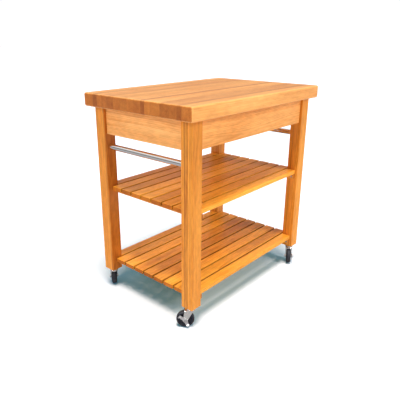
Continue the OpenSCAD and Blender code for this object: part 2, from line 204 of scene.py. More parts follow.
def grown_piece(name, points, faces, normals=None):
    """A smooth mesh object made of an array of points and a list of faces, with its normals where they are
    known."""
    mesh = bpy.data.meshes.new(name)
    mesh.from_pydata(points.reshape(-1, 3).tolist(), [], faces)
    mesh.polygons.foreach_set("use_smooth", np.ones(len(mesh.polygons), bool))
    if normals is not None:
        mesh.normals_split_custom_set_from_vertices(normals.reshape(-1, 3).tolist())
    piece = bpy.data.objects.new(name, mesh)
    scene.collection.objects.link(piece)
    return piece


def grid_faces(rows, columns, close_rows=False, close_columns=False):
    """Four-sided faces between neighbours of a grid of points numbered row by row."""
    down = np.arange(rows if close_rows else rows - 1)
    along = np.arange(columns if close_columns else columns - 1)
    r, c = np.meshgrid(down, along, indexing="ij")
    r2, c2 = (r + 1) % rows, (c + 1) % columns
    corners = [r * columns + c, r2 * columns + c, r2 * columns + c2, r * columns + c2]
    return np.stack(corners, -1).reshape(-1, 4)


def paint_faces(piece, name, *values):
    """Keeps three numbers a face for the material to read."""
    layer = piece.data.attributes.new(name, "FLOAT_VECTOR", "FACE")
    layer.data.foreach_set("vector", np.stack(values, 1).astype(np.float32).ravel())


def board(name, low, high, radius, grain, staves, seed, spread=0.12, sides=(0.0, 0.0)):
    """A planed board, or several glued side by side along Y. staves says of each one where it starts and
    stops, how much lighter it is and how red. The outline in X and Z is a rectangle with quarter-circle
    corners, carried along Y. Near each end the corner circles grow as the sine of a turn while the outline
    advances by one minus its cosine, so every edge is rounded alike. grain is the axis the grain runs along,
    spread is how far from the tree's heart a stave may have grown, and sides is how much lighter the faces
    towards -Y and +Y are. Each face keeps its stave's place in the tree (stave_shift), its tone (stave_tone_and_shade:
    lightness, redness) and its kind (face_kind: end grain, eased edge, glue line)."""
    low, high = np.array(low, float), np.array(high, float)
    size, middle = high - low, (high + low) / 2
    turn = np.radians([9, 30, 52, 72, 90])
    reach = np.sin(turn)
    advance = radius * (1 - np.cos(turn))
    advance[0] = 0
    inner = []
    for _, stop, _, _ in staves[:-1]:
        inner += [stop - glue_line / 2, stop + glue_line / 2]
    ys = np.concatenate([low[1] + advance, inner, (high[1] - advance)[::-1]])
    reaches = np.concatenate([reach, np.ones(len(inner)), reach[::-1]])
    rows = []
    for y, k in zip(ys, reaches):
        flat = eased_outline(size[0], size[2], radius, k)
        rows.append(np.stack([flat[:, 0] + middle[0], np.full(len(flat), y), flat[:, 1] + middle[2]], 1))
    points = np.array(rows)
    normals = points - np.clip(points, low + radius, high - radius)
    normals[0], normals[-1] = (0, -1, 0), (0, 1, 0)
    normals /= np.linalg.norm(normals, axis=-1, keepdims=True)
    count = points.shape[1]
    quads = grid_faces(len(ys), count, close_columns=True)
    last = (len(ys) - 1) * count
    caps = [list(range(count)), list(range(last + count - 1, last - 1, -1))]
    piece = grown_piece(name, points, quads.tolist() + caps, normals)

    spans = points.reshape(-1, 3)[quads]
    centres = np.concatenate([spans.mean(1), points[[0, -1]].mean(1)])
    facing = np.cross(spans[:, 2] - spans[:, 0], spans[:, 3] - spans[:, 1])
    facing /= np.linalg.norm(facing, axis=1, keepdims=True)
    facing = np.concatenate([facing, [[0, -1, 0], [0, 1, 0]]])
    joints = np.array([stop for _, stop, _, _ in staves[:-1]])
    stave = np.searchsorted(joints, centres[:, 1])
    dice = np.random.default_rng(seed)
    along = "xyz".index(grain)
    shift = np.zeros((len(staves), 3))
    for n, (start, stop, _, _) in enumerate(staves):
        heart = dice.uniform(0, 2 * math.pi)
        far = dice.uniform(nearest_heart, spread)
        home = np.array([middle[0], (start + stop) / 2, middle[2]])
        offset = np.full(3, far)
        offset[(along + 1) % 3] *= math.cos(heart)
        offset[(along + 2) % 3] *= math.sin(heart)
        offset[along] = dice.uniform(-trunk_half, trunk_half)
        shift[n] = offset - home * (np.arange(3) != along)
    paint_faces(piece, "stave_shift", *shift[stave].T)
    light, red = np.array([tones for _, _, *tones in staves])[stave].T
    # Painted shade: sides darkens the faces towards -Y and +Y, as on the slat sides in the gaps between
    # slats.
    light = light + np.where(facing[:, 1] < -straight_on, sides[0], 0)
    light = light + np.where(facing[:, 1] > straight_on, sides[1], 0)
    paint_faces(piece, "stave_tone_and_shade", light, red, np.zeros(len(light)))
    ends = np.abs(facing[:, along]) > straight_on
    eased = np.abs(facing).max(1) < nearly_flat
    glue = np.abs(centres[:, 1, None] - joints).min(1, initial=1.0) < glue_line * 0.6
    paint_faces(piece, "face_kind", ends, eased, glue)
    return piece


def stretched_noise(tree, place, scale, detail=2.0, rough=0.5):
    """Noise whose grains are stretched: scale is how many fit in a metre along each direction."""
    spot = vector_sums(tree, "MULTIPLY", place, scale)
    noise = put(tree, "TexNoise", {"Vector": spot, "Scale": 1.0, "Detail": detail, "Roughness": rough})
    return noise.outputs


def new_group(name, inputs, outputs):
    """A shader node group with named sockets: its tree, what it is given and the node that takes its
    results."""
    tree = bpy.data.node_groups.new(name, "ShaderNodeTree")
    for label, kind, value in inputs:
        socket = tree.interface.new_socket(label, in_out="INPUT", socket_type="NodeSocket" + kind)
        if value is not None:
            socket.default_value = value
    for label, kind in outputs:
        tree.interface.new_socket(label, in_out="OUTPUT", socket_type="NodeSocket" + kind)
    return tree, tree.nodes.new("NodeGroupInput").outputs, tree.nodes.new("NodeGroupOutput")


wood_grain, given, made = new_group(
    "wood_grain",
    [("Place", "Vector", None), ("Tone", "Vector", None), ("Face Kind", "Vector", None),
     ("Sapwood", "Color", (1, 1, 1, 1)), ("Heartwood", "Color", (1, 1, 1, 1)), ("Ring Width", "Float", 0.004),
     ("Figure", "Float", 1.0)],
    [("Color", "Color"), ("Roughness", "Float"), ("Height", "Float")])
tree, place = wood_grain, given["Place"]
# Growth rings are shells round the tree's heart. Place runs along the grain in X, with the heart on
# Y = Z = 0, and slow noise lets the heart wander, which draws the arches on a flat-sawn face.
wander = stretched_noise(tree, place, (1.1, 3.0, 3.0), 1.5)["Color"]
drift = vector_sums(tree, "SUBTRACT", wander, (0.5, 0.5, 0.5))
drift = vector_sums(tree, "MULTIPLY_ADD", drift, (0.0, 0.055, 0.055), place)
radius = vector_sums(tree, "LENGTH", vector_sums(tree, "MULTIPLY", drift, (0.0, 1.0, 1.0)))
ragged = stretched_noise(tree, place, (5.0, 90.0, 90.0), 2.0)[0]
age = sums(tree, "DIVIDE", radius, given["Ring Width"])
age = sums(tree, "ADD", age, sums(tree, "MULTIPLY", ragged, 0.9))
# Each year the wood darkens slowly towards the late wood and turns pale again at once, some years more.
season = sums(tree, "FRACT", age)
late = sums(tree, "MULTIPLY", ramp(tree, season, 0.3, 0.9), ramp(tree, season, 0.93, 1.0, 1.0, 0.0))
year = put(tree, "TexWhiteNoise", {"W": sums(tree, "FLOOR", age)}, noise_dimensions="1D").outputs["Value"]
late = sums(tree, "MULTIPLY", late, ramp(tree, year, 0.0, 1.0, 0.35, 1.0, soft=False))
# Fine fibre, slow clouds of tone, open pores and a few streaks of gum darken it too.
fibre = stretched_noise(tree, place, (7.0, 420.0, 420.0), 3.0, 0.6)[0]
cloud = stretched_noise(tree, place, (2.2, 16.0, 16.0), 3.0)[0]
pores = ramp(tree, stretched_noise(tree, place, (30.0, 1900.0, 1900.0), 1.0)[0], 0.60, 0.70)
gum = ramp(tree, stretched_noise(tree, place, (0.9, 42.0, 42.0), 2.0)[0], 0.60, 0.72)
dark = sums(tree, "MULTIPLY", late, 0.42)
for what, share in ((ramp(tree, fibre, 0.3, 0.7), 0.34), (ramp(tree, cloud, 0.3, 0.72), 0.36), (gum, 0.30),
                    (pores, 0.10)):
    dark = sums(tree, "MULTIPLY_ADD", what, share, dark)
# Figure spreads the tones apart from this middle one.
middle_tone = 0.42
contrast = sums(tree, "SUBTRACT", dark, middle_tone)
dark = sums(tree, "MULTIPLY_ADD", contrast, given["Figure"], middle_tone, clamp=True)
colour = blended(tree, dark, given["Sapwood"], given["Heartwood"])
tone = put(tree, "SeparateXYZ", [given["Tone"]]).outputs
kind = put(tree, "SeparateXYZ", [given["Face Kind"]]).outputs
redder, end_tint, glue_colour = (0.78, 0.60, 0.62, 1), (0.56, 0.37, 0.17, 1), (0.16, 0.07, 0.03, 1)
colour = blended(tree, tone["Y"], colour, blended(tree, 1.0, colour, redder, "MULTIPLY"))
# Curl is the faint shimmer across the grain.
curl = stretched_noise(tree, place, (26.0, 70.0, 70.0), 2.0)[0]
lighter = sums(tree, "ADD", tone["X"], ramp(tree, curl, 0.35, 0.65, 0.93, 1.07))
lighter = put(tree, "CombineXYZ", [lighter, lighter, lighter]).outputs[0]
colour = blended(tree, 1.0, colour, lighter, "MULTIPLY")
colour = blended(tree, sums(tree, "MULTIPLY", kind["Z"], 0.6), colour, glue_colour)
colour = blended(tree, kind["X"], colour, blended(tree, 1.0, colour, end_tint, "MULTIPLY"))
# Edges are rubbed pale and a little matt.
rubbed = sums(tree, "MULTIPLY", kind["Y"], ramp(tree, ragged, 0.38, 0.62, 0.15, 0.75))
colour = blended(tree, sums(tree, "MULTIPLY", rubbed, 0.5), colour, given["Sapwood"])
rough = sums(tree, "MULTIPLY_ADD", fibre, 0.16, 0.30)
rough = sums(tree, "MULTIPLY_ADD", kind["X"], 0.10, rough)
rough = sums(tree, "MULTIPLY_ADD", rubbed, 0.12, rough)
height = sums(tree, "MULTIPLY_ADD", late, 0.5, sums(tree, "MULTIPLY", fibre, 0.5))
height = sums(tree, "MULTIPLY_ADD", pores, -0.5, height)
feed(tree, made, {"Color": colour, "Roughness": rough, "Height": height})


def lacquered(name, grain, sapwood, heartwood, ring_width=0.0042, figure=1.4, coat=0.2):
    """Wood under a satin lacquer, with its grain along X, Y or Z."""
    material, tree, shader = new_material(name)
    shift, tone, kind = [put(tree, "Attribute", attribute_name=label).outputs["Vector"]
                         for label in ("stave_shift", "stave_tone_and_shade", "face_kind")]
    spot = vector_sums(tree, "ADD", put(tree, "TexCoord").outputs["Object"], shift)
    parts = put(tree, "SeparateXYZ", [spot]).outputs
    order = {"x": "XYZ", "y": "YZX", "z": "ZXY"}[grain]
    spot = put(tree, "CombineXYZ", [parts[axis] for axis in order]).outputs[0]
    wood = put(tree, "Group", {
        "Place": spot, "Tone": tone, "Face Kind": kind, "Sapwood": (*sapwood, 1),
        "Heartwood": (*heartwood, 1), "Ring Width": ring_width, "Figure": figure},
        node_tree=wood_grain).outputs
    relief = put(tree, "Bump", {"Strength": 0.25, "Distance": 0.0004, "Height": wood["Height"]}).outputs[0]
    feed(tree, shader, {
        "Base Color": wood["Color"], "Roughness": wood["Roughness"], "Normal": relief,
        "Specular IOR Level": 0.3, "Specular Tint": (1.0, 0.74, 0.44, 1),
        "Coat Weight": coat, "Coat Tint": (1.0, 0.95, 0.86, 1), "Coat Roughness": 0.2})
    return material


top_low, top_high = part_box("butcher_block_top")
# Each stave: how far from the front it ends, in mm, how light it is, and how red.
stave_ends = [
    (50, 0.10, 0.0), (72, -0.16, 0.55), (112, -0.02, 0.25), (156, -0.06, 0.35), (207, 0.05, 0.0),
    (238, 0.12, 0.0), (258, -0.20, 0.8), (298, 0.0, 0.2), (338, 0.08, 0.1), (378, -0.03, 0.0),
    (418, 0.02, 0.1), (458, -0.08, 0.35), (490, 0.0, 0.3), (522, 0.03, 0.3), (548, -0.18, 0.6),
    (610, 0.04, 0.0),
]
top_staves, begin = [], top_low.y
for millimetres, light, warm in stave_ends:
    end = top_low.y + millimetres / 1000
    top_staves.append((begin, end, light, warm))
    begin = end
top_ease = 0.008
block_top = board("block_top", top_low, top_high, top_ease, "x", top_staves, seed=11, spread=0.10)
block_top.data.materials.append(
    lacquered("lacquered_block", "x", (0.88, 0.435, 0.135), (0.63, 0.24, 0.054), 0.0040, coat=0.34))
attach(block_top, "table")
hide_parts("butcher_block_top")

# ---------------------------------------------------------------- the legs
# Each leg is a few thicknesses of the same hardwood glued into a square post,
# with its edges eased. The staves and the pale sapwood at a stave's edge show on
# the faces at the ends of the table.
leg_ease = 0.003
leg_wood = lacquered("lacquered_leg", "z", (0.80, 0.315, 0.04), (0.58, 0.175, 0.015), 0.0044)
# Each stave from the front: the share of the leg where it ends, how light it is, and how red.
leg_staves = {
    "front_left": (
        (0.29, -0.02, 0.1), (0.36, 0.30, 0.0), (0.64, -0.12, 0.1), (0.72, -0.24, 0.3), (1.0, 0.06, 0.0)),
    "front_right": (
        (0.33, 0.05, 0.0), (0.66, 0.06, 0.1), (0.72, -0.12, 0.3), (1.0, 0.04, 0.1)),
    "rear_left": (
        # The first stave is painted darker and redder: painted shade on this leg's front face, which looks
        # into the shade under the table.
        (0.10, -0.12, 0.8), (0.34, 0.02, 0.1), (0.64, 0.04, 0.1), (0.70, 0.14, 0.0), (1.0, -0.06, 0.1)),
    "rear_right": (
        (0.33, -0.02, 0.2), (0.67, 0.04, 0.0), (1.0, -0.06, 0.1)),
}
for number, (corner, staves) in enumerate(leg_staves.items()):
    low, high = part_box(corner + "_leg")
    deep = high.y - low.y
    begins = (0,) + tuple(stave[0] for stave in staves)
    layers = [(low.y + begin * deep, low.y + end * deep, light, warm)
              for begin, (end, light, warm) in zip(begins, staves)]
    leg = board(corner + "_post", low, high, leg_ease, "z", layers, seed=40 + number)
    leg.data.materials.append(leg_wood)
    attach(leg, "table")
    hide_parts(corner + "_leg")

# ---------------------------------------------------------------- the aprons
# Four plain boards stand on edge between the legs, set back from their faces,
# and hold the frame square under the top.
apron_ease = 0.002
long_apron_wood = lacquered("lacquered_long_apron", "x", (0.88, 0.40, 0.115), (0.66, 0.235, 0.045), 0.0052)
end_apron_wood = lacquered("lacquered_end_apron", "y", (0.89, 0.44, 0.15), (0.68, 0.265, 0.062), 0.0052)
# Each apron: which way its grain runs, its wood and how light it is.
aprons = {
    "front": ("x", long_apron_wood, 0.04), "rear": ("x", long_apron_wood, 0.0),
    "left": ("y", end_apron_wood, 0.05), "right": ("y", end_apron_wood, 0.0),
}
for number, (side, (grain, wood, light)) in enumerate(aprons.items()):
    low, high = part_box(side + "_apron")
    apron = board(side + "_rail", low, high, apron_ease, grain, [(low.y, high.y, light, 0.0)],
                  seed=60 + number)
    apron.data.materials.append(wood)
    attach(apron, "table")
    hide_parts(side + "_apron")

# ---------------------------------------------------------------- the shelves
# Planed slats, picked as they came, so no two are the same tone. They lie on a
# cleat at each end, and the seven inner ones run on past the legs' inner faces.
slat_ease, cleat_ease = 0.002, 0.001
slat_wood = lacquered("lacquered_slat", "x", (0.94, 0.42, 0.048), (0.68, 0.24, 0.018), 0.0046, 2.0, 0.12)
cleat_wood = lacquered("lacquered_cleat", "y", (0.90, 0.42, 0.10), (0.66, 0.26, 0.04), 0.0044)
# Each slat from the front: how light it is, and how red. The sides in the gaps between slats are painted
# darker: this is painted shade, where little light falls between the slats.
slat_tones = {
    "upper": ((0.12, 0.0), (0.11, 0.1), (0.09, 0.2), (-0.06, 0.4), (0.05, 0.1), (0.12, 0.0), (-0.08, 0.4),
              (0.08, 0.1), (0.14, 0.0)),
    "lower": ((-0.02, 0.15), (-0.03, 0.1), (0.08, 0.0), (-0.14, 0.5), (-0.20, 0.6), (-0.10, 0.4), (0.08, 0.0),
              (-0.06, 0.2), (0.04, 0.0)),
}
outer_side, gap_painted_shade = 0.0, -0.4
for shelf, (level, tones) in enumerate(slat_tones.items()):
    for number, (light, warm) in enumerate(tones, 1):
        low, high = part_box(f"{level}_slat_{number}")
        front_painted_shade = outer_side if number == 1 else gap_painted_shade
        rear_painted_shade = outer_side if number == len(tones) else gap_painted_shade
        slat = board(f"{level}_shelf_board_{number}", low, high, slat_ease, "x",
                     [(low.y, high.y, light, warm)], seed=100 + shelf * 20 + number,
                     sides=(front_painted_shade, rear_painted_shade))
        slat.data.materials.append(slat_wood)
        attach(slat, "table")
        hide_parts(f"{level}_slat_{number}")
    for side in ("left", "right"):
        low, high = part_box(f"{level}_{side}_cleat")
        cleat = board(f"{level}_{side}_bearer", low, high, cleat_ease, "y",
                      [(low.y, high.y, -0.04, 0.1)], seed=150 + shelf * 2 + (side == "left"))
        cleat.data.materials.append(cleat_wood)
        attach(cleat, "table")
        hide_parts(f"{level}_{side}_cleat")

# ---------------------------------------------------------------- the towel bars
# A length of chromed tube at each end of the table, pushed into blind sockets
# in the legs. Handling leaves faint smudges, and polishing leaves fine lines.


worn_metal, given, made = new_group(
    "worn_metal",
    [("Place", "Vector", None), ("Bright", "Color", (1, 1, 1, 1)), ("Dull", "Color", (1, 1, 1, 1)),
     ("Line Scale", "Vector", (1, 1, 1)), ("Sheen", "Float", 0.1), ("Smudging", "Float", 0.1),
     ("Specks", "Float", 0.0)],
    [("Color", "Color"), ("Roughness", "Float"), ("Height", "Float")])
tree, place = worn_metal, given["Place"]
# Smudges dull the metal in patches, polishing leaves fine lines, and specks of tarnish sit here and there.
smudge = ramp(tree, stretched_noise(tree, place, (28.0, 28.0, 28.0), 3.0, 0.6)[0], 0.42, 0.70)
lines = stretched_noise(tree, place, given["Line Scale"], 2.0)[0]
specks = ramp(tree, stretched_noise(tree, place, (900.0, 900.0, 900.0), 2.0)[0], 0.62, 0.72)
specks = sums(tree, "MULTIPLY", specks, given["Specks"])
streak = sums(tree, "MULTIPLY", sums(tree, "SUBTRACT", lines, 0.5), 0.8)
rough = sums(tree, "MULTIPLY_ADD", streak, given["Sheen"], given["Sheen"])
rough = sums(tree, "MULTIPLY_ADD", smudge, given["Smudging"], rough)
rough = sums(tree, "MULTIPLY_ADD", specks, 0.25, rough, clamp=True)
smudged = blended(tree, 1.0, given["Bright"], (0.86, 0.86, 0.86, 1), "MULTIPLY")
tint = blended(tree, sums(tree, "MULTIPLY", smudge, 0.18), given["Bright"], smudged)
tint = blended(tree, specks, tint, given["Dull"])
feed(tree, made, {"Color": tint, "Roughness": rough, "Height": lines})


def bare_metal(name, bright, sheen, smudging, line_scale, specks=0.0, dull=(0.5, 0.45, 0.4)):
    """Bright plated metal. line_scale is how many polishing lines fit in a metre along each direction, sheen
    is how rough it is where clean, and smudging is how much rougher a smudge makes it. specks is how much
    tarnish shows, and dull is its colour."""
    material, tree, shader = new_material(name)
    metal = put(tree, "Group", {
        "Place": put(tree, "TexCoord").outputs["Object"], "Bright": (*bright, 1), "Dull": (*dull, 1),
        "Line Scale": line_scale, "Sheen": sheen, "Smudging": smudging, "Specks": specks},
        node_tree=worn_metal).outputs
    relief = put(tree, "Bump", {"Strength": 0.12, "Distance": 0.0001, "Height": metal["Height"]}).outputs[0]
    feed(tree, shader, {
        "Base Color": metal["Color"], "Roughness": metal["Roughness"], "Normal": relief, "Metallic": 1.0})
    return material


def turned(profile, steps):
    """A profile of radius and height turned once round Z: a grid of points, a row for each profile point."""
    turn = np.linspace(0, 2 * math.pi, steps, endpoint=False)
    radius, height = np.array(profile, float).T[:, :, None]
    return np.stack(np.broadcast_arrays(radius * np.cos(turn), radius * np.sin(turn), height), -1)


def sharpen(piece, degrees):
    """Keeps a crisp edge wherever two faces meet at more than that angle."""
    piece.data.set_sharp_from_angle(angle=math.radians(degrees))


bar_chrome = bare_metal("towel_bar_chrome", (0.84, 0.83, 0.82), 0.06, 0.08, (900.0, 14.0, 900.0))
bar_wall, bar_steps = 0.0015, 64
for side in ("left", "right"):
    low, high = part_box(side + "_towel_bar")
    radius, half_length = (high.x - low.x) / 2, (high.y - low.y) / 2
    bore = radius - bar_wall
    tube = turned([(radius, -half_length), (radius, half_length), (bore, half_length), (bore, -half_length)],
                  bar_steps)
    x, y, z = np.moveaxis(tube, -1, 0)
    lying = np.stack([x + (low.x + high.x) / 2, -z, y + (low.z + high.z) / 2], -1)
    bar = grown_piece(side + "_bar", lying, grid_faces(4, bar_steps, True, True)[:, ::-1].tolist())
    sharpen(bar, 32)
    bar.data.materials.append(bar_chrome)
    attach(bar, "table")
    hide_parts(side + "_towel_bar")

# ---------------------------------------------------------------- the hidden fixings
# Bent steel brackets and hanger bolts pull the aprons into the legs, Z clips let
# the top move over the aprons, and pan head screws hold the rest. All of it is
# zinc plated, with the plating's faint bloom and a few dull specks.
zinc_plate = bare_metal(
    "zinc_plate", (0.60, 0.61, 0.62), 0.34, 0.18, (240.0, 240.0, 240.0), 0.5, (0.32, 0.31, 0.29))
fixings = ["hanger_bolts", "hanger_nuts", "bracket_screws", "top_clips", "top_clip_screws", "slat_screws",
           "cleat_screws"]
for corner in leg_staves:
    fixings += [corner + "_bracket", corner + "_axle"]
for fixing in fixings:
    for holder in frame["nodes"][fixing].material_slots:
        holder.material = zinc_plate

# ---------------------------------------------------------------- the caster mounts
# Under each leg a stem carries a washer and a pressed, chromed race cup with a
# rolled rim. A riveted kingpin hangs from it through the fork's crown.
caster_chrome = bare_metal("caster_chrome", (0.90, 0.90, 0.88), 0.20, 0.12, (500.0, 500.0, 500.0), 0.35)
joint_places = {joint["name"]: np.array(joint["pos_m"]) for joint in frame["joints"]}


def at_corner(corner, points):
    """Points drawn with the swivel's axis on Z and the wheel trailing along X, turned the way that corner's
    caster trails and carried under its leg."""
    swivel = joint_places[corner + "_swivel_turn"]
    reach = joint_places[corner + "_wheel_spin"][:2] - swivel[:2]
    c, s = reach / np.hypot(*reach)
    x, y, z = np.moveaxis(points, -1, 0)
    return np.stack([x * c - y * s + swivel[0], x * s + y * c + swivel[1], z], -1)


def curve_round(corners, radius, steps=5):
    """A bent line of points whose corners are rounded. Each corner is replaced by a curve that starts and
    ends radius away from it, or nearly half a side where that is less, and bends as a parabola does."""
    corners = np.array(corners, float)
    line = [corners[:1]]
    t = np.linspace(0, 1, steps)[:, None]
    for before, here, after in zip(corners, corners[1:-1], corners[2:]):
        lengths = np.linalg.norm(before - here), np.linalg.norm(after - here)
        start = here + (before - here) / lengths[0] * min(radius, lengths[0] * 0.45)
        stop = here + (after - here) / lengths[1] * min(radius, lengths[1] * 0.45)
        line.append((1 - t) ** 2 * start + 2 * t * (1 - t) * here + t ** 2 * stop)
    return np.concatenate(line + [corners[-1:]])


leg_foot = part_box("front_left_leg")[0].z
stem_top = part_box("caster_stems")[1].z
stem_radius, neck_radius, washer_radius, washer_low = 0.005, 0.0135, 0.0152, 0.0902
# The cup hangs cup_drop under the washer. It steps out by rim_step to its rolled rim, which starts at rim_top
# and ends at cup_low.
cup_neck_radius, cup_radius, cup_bore, cup_drop, rim_step = 0.0160, 0.019, 0.0165, 0.0004, 0.0010
cup_shoulder, cup_skirt, rim_top, cup_low = 0.0868, 0.0850, 0.0846, 0.0822
# The kingpin's end is spread into a flat rivet head, a little narrower at its foot.
pin_radius, rivet_radius, rivet_foot_radius = 0.0045, 0.0075, 0.0072
rivet_top, rivet_edge, rivet_low = 0.0790, 0.0772, 0.0770
metal_round = 0.0012
mount_profile = np.concatenate([
    [(0.0, stem_top), (stem_radius, stem_top), (stem_radius, leg_foot)],
    curve_round([(stem_radius, leg_foot), (washer_radius, leg_foot), (washer_radius, washer_low),
                 (neck_radius, washer_low)], metal_round),
    curve_round([(neck_radius, washer_low), (cup_neck_radius, washer_low - cup_drop),
                 (cup_radius - rim_step, cup_shoulder), (cup_radius - rim_step, cup_skirt),
                 (cup_radius, rim_top), (cup_radius, cup_low), (cup_bore, cup_low)], metal_round)[1:],
    [(pin_radius, cup_low), (pin_radius, rivet_top)],
    curve_round([(pin_radius, rivet_top), (rivet_radius, rivet_top), (rivet_foot_radius, rivet_edge),
                 (0.0, rivet_low)], metal_round)[1:],
])
mount_steps = 56
mounts = np.stack([at_corner(corner, turned(mount_profile, mount_steps)) for corner in leg_staves])
one_mount = grid_faces(len(mount_profile), mount_steps, close_columns=True)
mount_faces = np.concatenate([one_mount + n * len(mount_profile) * mount_steps for n in range(len(mounts))])
caster_mounts = grown_piece("caster_mounts", mounts, mount_faces.tolist())
sharpen(caster_mounts, 40)
caster_mounts.data.materials.append(caster_chrome)
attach(caster_mounts, "table")
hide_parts("caster_stems")

# ---------------------------------------------------------------- the forks
# One strip of steel is pressed into a deep U over the wheel, swept back to the
# axle, stiffened by a rib down each cheek and chromed. Its crown is a round boss
# that turns on the kingpin.
fork_inner, fork_sheet, fork_bend, crown_top = 0.0130, 0.0026, 0.0045, 0.0819
trail, axle_height, eye_radius = 0.024, 0.038, 0.0085
# How far the cheek's front and back edges sweep from the axle's eye up to the crown.
front_sweep, back_sweep = 0.0239, 0.0055
# The rib's height, its width as a share of the cheek's, where it starts and over what height it fades in, and
# how far under the crown it stops and over what height it fades out.
rib_rise, rib_share, rib_foot, rib_fade_in, rib_stop, rib_fade_out = 0.0009, 0.17, 0.052, 0.008, 0.001, 0.006


def fork_strip():
    """The U runs up one cheek, over the crown and down the other. Across it, the strip reaches from its front
    edge to its back edge: curves that sweep forward above the axle, and below it a half circle round the
    axle. The rib swells out along the middle as a bell curve."""
    foot, side, eye_steps = axle_height - eye_radius, fork_inner + fork_sheet, 9
    bend = curve_round([(side, foot), (side, crown_top), (0.0, crown_top)], fork_bend, 9)
    eye_turn = np.linspace(0, math.pi / 2, eye_steps)
    eye_part = np.stack([np.full(eye_steps, side), foot + eye_radius * (1 - np.cos(eye_turn))], 1)
    cheek_heights = np.linspace(axle_height + 0.002, crown_top - fork_bend, 12)[:-1]
    cheek_part = np.stack([np.full(len(cheek_heights), side), cheek_heights], 1)
    half = np.concatenate([eye_part, cheek_part, bend[1:]])
    line = np.concatenate([half, half[:-1][::-1] * (-1, 1)])
    step = np.gradient(line, axis=0)
    out = np.stack([step[:, 1], -step[:, 0]], 1)
    out /= np.linalg.norm(out, axis=1, keepdims=True)
    z = line[:, 1]
    below = np.sqrt(np.clip(eye_radius ** 2 - (axle_height - z) ** 2, 0, None))
    rise = np.clip((z - axle_height) / (crown_top - axle_height), 0, 1)
    front = np.where(z < axle_height, trail - below, trail - eye_radius - front_sweep * rise ** 0.85)
    back = np.where(z < axle_height, trail + below, trail + eye_radius - back_sweep * rise ** 2)
    u = np.linspace(0, 1, 13)
    x = front[:, None] + (back - front)[:, None] * u
    fade_in = np.clip((z - rib_foot) / rib_fade_in, 0, 1)[:, None] ** 2
    fade_out = np.clip((crown_top - rib_stop - z) / rib_fade_out, 0, 1)[:, None] ** 2
    swell = np.exp(-((u - 0.5) / rib_share) ** 2) * fade_in * fade_out * rib_rise
    outer = np.stack([x, line[:, :1] + out[:, :1] * swell, line[:, 1:] + out[:, 1:] * swell], -1)
    sunk = fork_sheet - swell
    inner = np.stack([x, line[:, :1] - out[:, :1] * sunk, line[:, 1:] - out[:, 1:] * sunk], -1)
    return outer, inner


def shell(outer, inner):
    """A sheet with thickness: the outer grid and the inner grid are walked as one closed loop across each
    row, and the first and last rows are capped."""
    loop = np.concatenate([outer, inner[:, ::-1]], 1)
    rows, columns = loop.shape[:2]
    faces = grid_faces(rows, columns, close_columns=True).tolist()
    half = columns // 2
    first = [[n, n + 1, columns - 2 - n, columns - 1 - n] for n in range(half - 1)]
    last = [[(rows - 1) * columns + i for i in face[::-1]] for face in first]
    return loop.reshape(-1, 3), faces + first + last


strip, strip_faces = shell(*fork_strip())
# The boss clears the kingpin by a tenth of a millimetre and bulges a little low on its side.
boss_bore, boss_radius, boss_bulge = pin_radius + 0.0001, 0.0165, 0.0172
boss_low, bulge_height, boss_top = rivet_top, 0.0795, crown_top + 0.0001
boss_profile = curve_round([(boss_bore, boss_low), (boss_bore, boss_top), (boss_radius, boss_top),
                            (boss_bulge, bulge_height), (boss_radius, boss_low)], metal_round)
boss_steps = 48
boss = turned(boss_profile, boss_steps).reshape(-1, 3)
boss_faces = grid_faces(len(boss_profile), boss_steps, True, True)[:, ::-1] + len(strip)
fork_points = np.concatenate([strip, boss])
fork_faces = strip_faces + boss_faces.tolist()
for corner in leg_staves:
    fork = grown_piece(corner + "_yoke", at_corner(corner, fork_points), fork_faces)
    sharpen(fork, 38)
    fork.data.materials.append(caster_chrome)
    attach(fork, corner + "_swivel")
    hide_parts(corner + "_fork")

# ---------------------------------------------------------------- the wheels
# Moulded in one dark piece: a crowned tread with rounded shoulders, a dished web
# stiffened by ribs, and a long hub. The tread has picked up floor dust.
wheel_bore, hub_radius, web_inner, web_outer, rim_inner = 0.00405, 0.0090, 0.0105, 0.0265, 0.0285
rim_outer, tread_edge, crown_edge, wheel_radius = 0.0300, 0.0335, 0.0372, 0.038
hub_half, web_half_inner, web_half_outer = 0.0125, 0.0075, 0.0070
rim_half, tread_half, shoulder_half = 0.0106, 0.011, 0.0068
half_profile = curve_round([
    (wheel_bore, hub_half), (hub_radius, hub_half), (web_inner, web_half_inner), (web_outer, web_half_outer),
    (rim_inner, rim_half), (rim_outer, tread_half), (tread_edge, tread_half), (crown_edge, shoulder_half),
    (wheel_radius, 0.0)], 0.0018)
wheel_profile = np.concatenate([half_profile, half_profile[-2::-1] * (1, -1)])
wheel_steps = 120
disc = turned(wheel_profile, wheel_steps).reshape(-1, 3)
disc_faces = grid_faces(len(wheel_profile), wheel_steps, True, True)[:, ::-1]
